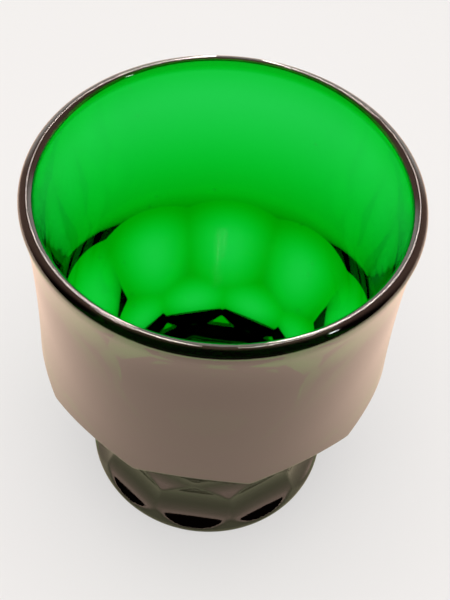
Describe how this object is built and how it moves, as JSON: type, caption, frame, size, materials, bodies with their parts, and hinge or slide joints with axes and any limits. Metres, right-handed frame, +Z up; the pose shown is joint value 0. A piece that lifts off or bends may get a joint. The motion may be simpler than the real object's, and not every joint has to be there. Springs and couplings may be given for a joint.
{
  "type": "footed tumbler",
  "caption": "Footed drinking tumbler of dark green pressed glass: plain slightly flared upper wall, honeycomb of thumbprint hollows below, short spreading foot.",
  "frame": {"origin": "on the table, under the middle of the foot", "axes": "+Z up along the axis of the glass, towards the mouth; +X and +Y lie in the table, and -Y faces the viewer of the picture"},
  "size_m": [0.0842, 0.0838, 0.1005],
  "materials": {
    "green_glass": "pressed soda-lime glass, coloured through, fire-polished to a gloss"
  },
  "bodies": {
    "root": {"lip": "green_glass", "upper_bowl": "green_glass", "honeycomb_bowl": "green_glass", "foot": "green_glass"}
  },
  "joints": []
}
